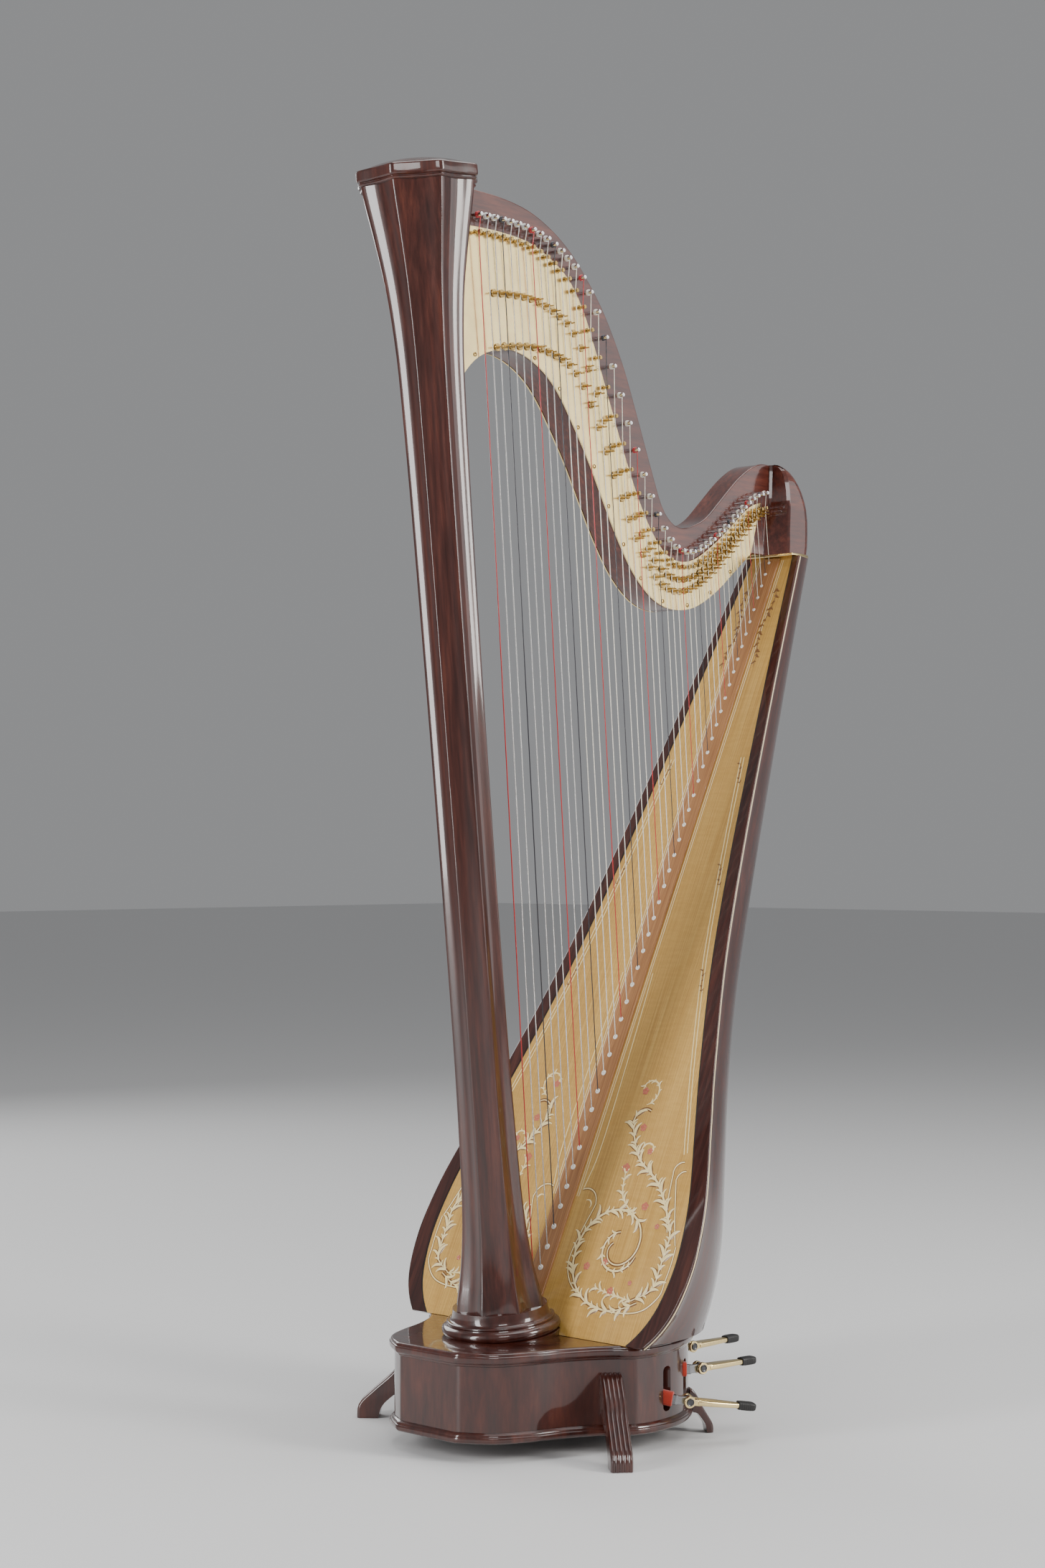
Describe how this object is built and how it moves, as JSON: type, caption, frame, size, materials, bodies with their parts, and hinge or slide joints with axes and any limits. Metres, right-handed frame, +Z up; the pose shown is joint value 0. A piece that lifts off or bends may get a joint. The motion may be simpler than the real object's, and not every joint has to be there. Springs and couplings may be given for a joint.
{
  "type": "concert harp",
  "caption": "Concert pedal harp with fluted leaning column, curved neck with brass action plates, flared soundbox, pedal base on scroll feet.",
  "frame": {"origin": "middle of the bounding box on the floor", "axes": "+X from the column towards the player's end of the soundbox, +Y to the player's right away from the string side, +Z up"},
  "size_m": [0.983, 0.5751, 1.8638],
  "materials": {
    "lacquered_wood": "dark red-brown high-gloss lacquer over fine-grained wood",
    "spruce_soundboard": "golden amber varnished spruce, fine straight grain, satin gloss",
    "maple_rib": "plain light hardwood, unpolished",
    "action_brass": "polished pale brass",
    "pedal_brass": "polished brass, dark rubber tip",
    "steel": "plain ground steel, red felt where the lever passes the slot",
    "tuning_pin_steel": "bright plated steel",
    "strings": "gut and nylon strings, C strings red, F strings dark blue, wound silver bass"
  },
  "bodies": {
    "frame": {"column": "lacquered_wood", "column_cap": "lacquered_wood", "column_collar": "lacquered_wood", "soundboard": "spruce_soundboard", "soundbox_shell": "lacquered_wood", "inner_string_rib": "maple_rib", "neck": "lacquered_wood", "left_action_plate": "action_brass", "right_action_plate": "action_brass", "strings": "strings", "shoulder_block": "lacquered_wood", "base_top": "lacquered_wood", "base_body": "lacquered_wood", "base_floor": "lacquered_wood", "front_left_foot": "lacquered_wood", "front_right_foot": "lacquered_wood", "rear_left_foot": "lacquered_wood", "rear_right_foot": "lacquered_wood"},
    "pedal_lever_d": {"pedal_lever_d": "steel"},
    "pedal_d": {"pedal_d": "pedal_brass"},
    "pedal_rod_d": {"pedal_rod_d": "steel"},
    "natural_disc_d": {"natural_disc_d": "action_brass"},
    "sharp_disc_d": {"sharp_disc_d": "action_brass"},
    "tuning_pin_d": {"tuning_pin_d": "tuning_pin_steel"},
    "pedal_lever_c": {"pedal_lever_c": "steel"},
    "pedal_c": {"pedal_c": "pedal_brass"},
    "pedal_rod_c": {"pedal_rod_c": "steel"},
    "natural_disc_c": {"natural_disc_c": "action_brass"},
    "sharp_disc_c": {"sharp_disc_c": "action_brass"},
    "tuning_pin_c": {"tuning_pin_c": "tuning_pin_steel"},
    "pedal_lever_b": {"pedal_lever_b": "steel"},
    "pedal_b": {"pedal_b": "pedal_brass"},
    "pedal_rod_b": {"pedal_rod_b": "steel"},
    "natural_disc_b": {"natural_disc_b": "action_brass"},
    "sharp_disc_b": {"sharp_disc_b": "action_brass"},
    "tuning_pin_b": {"tuning_pin_b": "tuning_pin_steel"},
    "pedal_lever_e": {"pedal_lever_e": "steel"},
    "pedal_e": {"pedal_e": "pedal_brass"},
    "pedal_rod_e": {"pedal_rod_e": "steel"},
    "natural_disc_e": {"natural_disc_e": "action_brass"},
    "sharp_disc_e": {"sharp_disc_e": "action_brass"},
    "tuning_pin_e": {"tuning_pin_e": "tuning_pin_steel"},
    "pedal_lever_f": {"pedal_lever_f": "steel"},
    "pedal_f": {"pedal_f": "pedal_brass"},
    "pedal_rod_f": {"pedal_rod_f": "steel"},
    "natural_disc_f": {"natural_disc_f": "action_brass"},
    "sharp_disc_f": {"sharp_disc_f": "action_brass"},
    "tuning_pin_f": {"tuning_pin_f": "tuning_pin_steel"},
    "pedal_lever_g": {"pedal_lever_g": "steel"},
    "pedal_g": {"pedal_g": "pedal_brass"},
    "pedal_rod_g": {"pedal_rod_g": "steel"},
    "natural_disc_g": {"natural_disc_g": "action_brass"},
    "sharp_disc_g": {"sharp_disc_g": "action_brass"},
    "tuning_pin_g": {"tuning_pin_g": "tuning_pin_steel"},
    "pedal_lever_a": {"pedal_lever_a": "steel"},
    "pedal_a": {"pedal_a": "pedal_brass"},
    "pedal_rod_a": {"pedal_rod_a": "steel"},
    "natural_disc_a": {"natural_disc_a": "action_brass"},
    "sharp_disc_a": {"sharp_disc_a": "action_brass"},
    "tuning_pin_a": {"tuning_pin_a": "tuning_pin_steel"}
  },
  "joints": [
    {"name": "pedal_d_press", "type": "hinge", "parent": "frame", "child": "pedal_lever_d", "pos_m": [-0.1862, -0.06235, 0.101], "axis": [0.866, 0.5, 0], "range_deg": [-9.88, 0]},
    {"name": "pedal_d_fold", "type": "hinge", "parent": "pedal_lever_d", "child": "pedal_d", "pos_m": [-0.07655, -0.23107, 0.066], "axis": [-0.4734, -0.8761, -0.0909], "range_deg": [0, 72]},
    {"name": "pedal_rod_d_lift", "type": "slide", "parent": "frame", "child": "pedal_rod_d", "axis": [-0.104, 0, 0.9946], "range_m": [-0.0101, 0]},
    {"name": "natural_disc_d_turn", "type": "hinge", "parent": "frame", "child": "natural_disc_d", "pos_m": [0.07848, 0.01742, 1.36252], "axis": [-0.0419, 0.9991, 0], "range_deg": [-45.2, 0]},
    {"name": "sharp_disc_d_turn", "type": "hinge", "parent": "frame", "child": "sharp_disc_d", "pos_m": [0.08194, 0.01757, 1.33153], "axis": [-0.0419, 0.9991, 0], "range_deg": [-45.2, 0]},
    {"name": "tuning_pin_d_turn", "type": "hinge", "parent": "frame", "child": "tuning_pin_d", "pos_m": [0.0682, 0.01699, 1.45455], "axis": [-0.0419, 0.9991, 0], "range_deg": [-180, 180]},
    {"name": "pedal_c_press", "type": "hinge", "parent": "frame", "child": "pedal_lever_c", "pos_m": [-0.17219, -0.05179, 0.101], "axis": [0.7193, 0.6947, 0], "range_deg": [0, 9.27]},
    {"name": "pedal_c_fold", "type": "hinge", "parent": "pedal_lever_c", "child": "pedal_c", "pos_m": [-0.01286, -0.19985, 0.101], "axis": [-0.1736, -0.9848, 0], "range_deg": [0, 66]},
    {"name": "pedal_rod_c_lift", "type": "slide", "parent": "frame", "child": "pedal_rod_c", "axis": [-0.104, 0, 0.9946], "range_m": [0, 0.0101]},
    {"name": "natural_disc_c_turn", "type": "hinge", "parent": "frame", "child": "natural_disc_c", "pos_m": [0.06102, 0.01669, 1.38866], "axis": [-0.0419, 0.9991, 0], "range_deg": [0, 45.2]},
    {"name": "sharp_disc_c_turn", "type": "hinge", "parent": "frame", "child": "sharp_disc_c", "pos_m": [0.06476, 0.01685, 1.35481], "axis": [-0.0419, 0.9991, 0], "range_deg": [0, 45.2]},
    {"name": "tuning_pin_c_turn", "type": "hinge", "parent": "frame", "child": "tuning_pin_c", "pos_m": [0.04972, 0.01622, 1.49098], "axis": [-0.0419, 0.9991, 0], "range_deg": [-180, 180]},
    {"name": "pedal_b_press", "type": "hinge", "parent": "frame", "child": "pedal_lever_b", "pos_m": [-0.15234, -0.01742, 0.101], "axis": [0.2419, 0.9703, 0], "range_deg": [0, 7.49]},
    {"name": "pedal_b_fold", "type": "hinge", "parent": "pedal_lever_b", "child": "pedal_b", "pos_m": [0.10924, -0.0787, 0.101], "axis": [-0.0523, -0.9986, 0], "range_deg": [0, 72]},
    {"name": "pedal_rod_b_lift", "type": "slide", "parent": "frame", "child": "pedal_rod_b", "axis": [-0.104, 0, 0.9946], "range_m": [0, 0.0101]},
    {"name": "natural_disc_b_turn", "type": "hinge", "parent": "frame", "child": "natural_disc_b", "pos_m": [0.15732, 0.02073, 1.30005], "axis": [-0.0419, 0.9991, 0], "range_deg": [0, 45.2]},
    {"name": "sharp_disc_b_turn", "type": "hinge", "parent": "frame", "child": "sharp_disc_b", "pos_m": [0.15977, 0.02083, 1.27938], "axis": [-0.0419, 0.9991, 0], "range_deg": [0, 45.2]},
    {"name": "tuning_pin_b_turn", "type": "hinge", "parent": "frame", "child": "tuning_pin_b", "pos_m": [0.15156, 0.02048, 1.34857], "axis": [-0.0419, 0.9991, 0], "range_deg": [-180, 180]},
    {"name": "pedal_e_press", "type": "hinge", "parent": "frame", "child": "pedal_lever_e", "pos_m": [-0.15205, 0.0162, 0.101], "axis": [-0.225, 0.9744, 0], "range_deg": [0, 7.48]},
    {"name": "pedal_e_fold", "type": "hinge", "parent": "pedal_lever_e", "child": "pedal_e", "pos_m": [0.11055, 0.07326, 0.101], "axis": [0.0523, -0.9986, 0], "range_deg": [0, 72]},
    {"name": "pedal_rod_e_lift", "type": "slide", "parent": "frame", "child": "pedal_rod_e", "axis": [-0.104, 0, 0.9946], "range_m": [0, 0.0101]},
    {"name": "natural_disc_e_turn", "type": "hinge", "parent": "frame", "child": "natural_disc_e", "pos_m": [0.09539, 0.01813, 1.34097], "axis": [-0.0419, 0.9991, 0], "range_deg": [0, 45.2]},
    {"name": "sharp_disc_e_turn", "type": "hinge", "parent": "frame", "child": "sharp_disc_e", "pos_m": [0.0986, 0.01826, 1.31258], "axis": [-0.0419, 0.9991, 0], "range_deg": [0, 45.2]},
    {"name": "tuning_pin_e_turn", "type": "hinge", "parent": "frame", "child": "tuning_pin_e", "pos_m": [0.08621, 0.01775, 1.42223], "axis": [-0.0419, 0.9991, 0], "range_deg": [-180, 180]},
    {"name": "pedal_f_press", "type": "hinge", "parent": "frame", "child": "pedal_lever_f", "pos_m": [-0.15923, 0.03491, 0.101], "axis": [-0.4848, 0.8746, 0], "range_deg": [0, 8.07]},
    {"name": "pedal_f_fold", "type": "hinge", "parent": "pedal_lever_f", "child": "pedal_f", "pos_m": [0.0627, 0.14899, 0.101], "axis": [0.1045, -0.9945, 0], "range_deg": [0, 72]},
    {"name": "pedal_rod_f_lift", "type": "slide", "parent": "frame", "child": "pedal_rod_f", "axis": [-0.104, 0, 0.9946], "range_m": [0, 0.0101]},
    {"name": "natural_disc_f_turn", "type": "hinge", "parent": "frame", "child": "natural_disc_f", "pos_m": [0.11168, 0.01881, 1.32445], "axis": [-0.0419, 0.9991, 0], "range_deg": [0, 45.2]},
    {"name": "sharp_disc_f_turn", "type": "hinge", "parent": "frame", "child": "sharp_disc_f", "pos_m": [0.11466, 0.01894, 1.29835], "axis": [-0.0419, 0.9991, 0], "range_deg": [0, 45.2]},
    {"name": "tuning_pin_f_turn", "type": "hinge", "parent": "frame", "child": "tuning_pin_f", "pos_m": [0.10354, 0.01847, 1.39569], "axis": [-0.0419, 0.9991, 0], "range_deg": [-180, 180]},
    {"name": "pedal_g_press", "type": "hinge", "parent": "frame", "child": "pedal_lever_g", "pos_m": [-0.17219, 0.05179, 0.101], "axis": [-0.7193, 0.6947, 0], "range_deg": [0, 9.26]},
    {"name": "pedal_g_fold", "type": "hinge", "parent": "pedal_lever_g", "child": "pedal_g", "pos_m": [-0.01299, 0.20054, 0.101], "axis": [0.2079, -0.9781, 0], "range_deg": [0, 66]},
    {"name": "pedal_rod_g_lift", "type": "slide", "parent": "frame", "child": "pedal_rod_g", "axis": [-0.104, 0, 0.9946], "range_m": [0, 0.0101]},
    {"name": "natural_disc_g_turn", "type": "hinge", "parent": "frame", "child": "natural_disc_g", "pos_m": [0.12746, 0.01947, 1.31198], "axis": [-0.0419, 0.9991, 0], "range_deg": [0, 45.2]},
    {"name": "sharp_disc_g_turn", "type": "hinge", "parent": "frame", "child": "sharp_disc_g", "pos_m": [0.13024, 0.01959, 1.28795], "axis": [-0.0419, 0.9991, 0], "range_deg": [0, 45.2]},
    {"name": "tuning_pin_g_turn", "type": "hinge", "parent": "frame", "child": "tuning_pin_g", "pos_m": [0.1202, 0.01917, 1.37477], "axis": [-0.0419, 0.9991, 0], "range_deg": [-180, 180]},
    {"name": "pedal_a_press", "type": "hinge", "parent": "frame", "child": "pedal_lever_a", "pos_m": [-0.1862, 0.06235, 0.101], "axis": [-0.866, 0.5, 0], "range_deg": [0, 9.88]},
    {"name": "pedal_a_fold", "type": "hinge", "parent": "pedal_lever_a", "child": "pedal_a", "pos_m": [-0.07504, 0.23369, 0.101], "axis": [0.4695, -0.8829, 0], "range_deg": [0, 72]},
    {"name": "pedal_rod_a_lift", "type": "slide", "parent": "frame", "child": "pedal_rod_a", "axis": [-0.104, 0, 0.9946], "range_m": [0, 0.0101]},
    {"name": "natural_disc_a_turn", "type": "hinge", "parent": "frame", "child": "natural_disc_a", "pos_m": [0.14265, 0.02011, 1.30408], "axis": [-0.0419, 0.9991, 0], "range_deg": [0, 45.2]},
    {"name": "sharp_disc_a_turn", "type": "hinge", "parent": "frame", "child": "sharp_disc_a", "pos_m": [0.14525, 0.02022, 1.28185], "axis": [-0.0419, 0.9991, 0], "range_deg": [0, 45.2]},
    {"name": "tuning_pin_a_turn", "type": "hinge", "parent": "frame", "child": "tuning_pin_a", "pos_m": [0.13624, 0.01984, 1.35877], "axis": [-0.0419, 0.9991, 0], "range_deg": [-180, 180]}
  ],
  "couplings": [
    {"joint": "pedal_rod_d_lift", "follows": "pedal_d_press", "m_per_rad": 0.057992},
    {"joint": "natural_disc_d_turn", "follows": "pedal_d_press", "ratio": 4.5547},
    {"joint": "sharp_disc_d_turn", "follows": "pedal_d_press", "ratio": 4.5547},
    {"joint": "pedal_rod_c_lift", "follows": "pedal_c_press", "m_per_rad": 0.061808},
    {"joint": "natural_disc_c_turn", "follows": "pedal_c_press", "ratio": 4.8544},
    {"joint": "sharp_disc_c_turn", "follows": "pedal_c_press", "ratio": 4.8544},
    {"joint": "pedal_rod_b_lift", "follows": "pedal_b_press", "m_per_rad": 0.076496},
    {"joint": "natural_disc_b_turn", "follows": "pedal_b_press", "ratio": 6.008},
    {"joint": "sharp_disc_b_turn", "follows": "pedal_b_press", "ratio": 6.008},
    {"joint": "pedal_rod_e_lift", "follows": "pedal_e_press", "m_per_rad": 0.076599},
    {"joint": "natural_disc_e_turn", "follows": "pedal_e_press", "ratio": 6.016},
    {"joint": "sharp_disc_e_turn", "follows": "pedal_e_press", "ratio": 6.016},
    {"joint": "pedal_rod_f_lift", "follows": "pedal_f_press", "m_per_rad": 0.070998},
    {"joint": "natural_disc_f_turn", "follows": "pedal_f_press", "ratio": 5.5762},
    {"joint": "sharp_disc_f_turn", "follows": "pedal_f_press", "ratio": 5.5762},
    {"joint": "pedal_rod_g_lift", "follows": "pedal_g_press", "m_per_rad": 0.061874},
    {"joint": "natural_disc_g_turn", "follows": "pedal_g_press", "ratio": 4.8596},
    {"joint": "sharp_disc_g_turn", "follows": "pedal_g_press", "ratio": 4.8596},
    {"joint": "pedal_rod_a_lift", "follows": "pedal_a_press", "m_per_rad": 0.057992},
    {"joint": "natural_disc_a_turn", "follows": "pedal_a_press", "ratio": 4.5547},
    {"joint": "sharp_disc_a_turn", "follows": "pedal_a_press", "ratio": 4.5547}
  ]
}
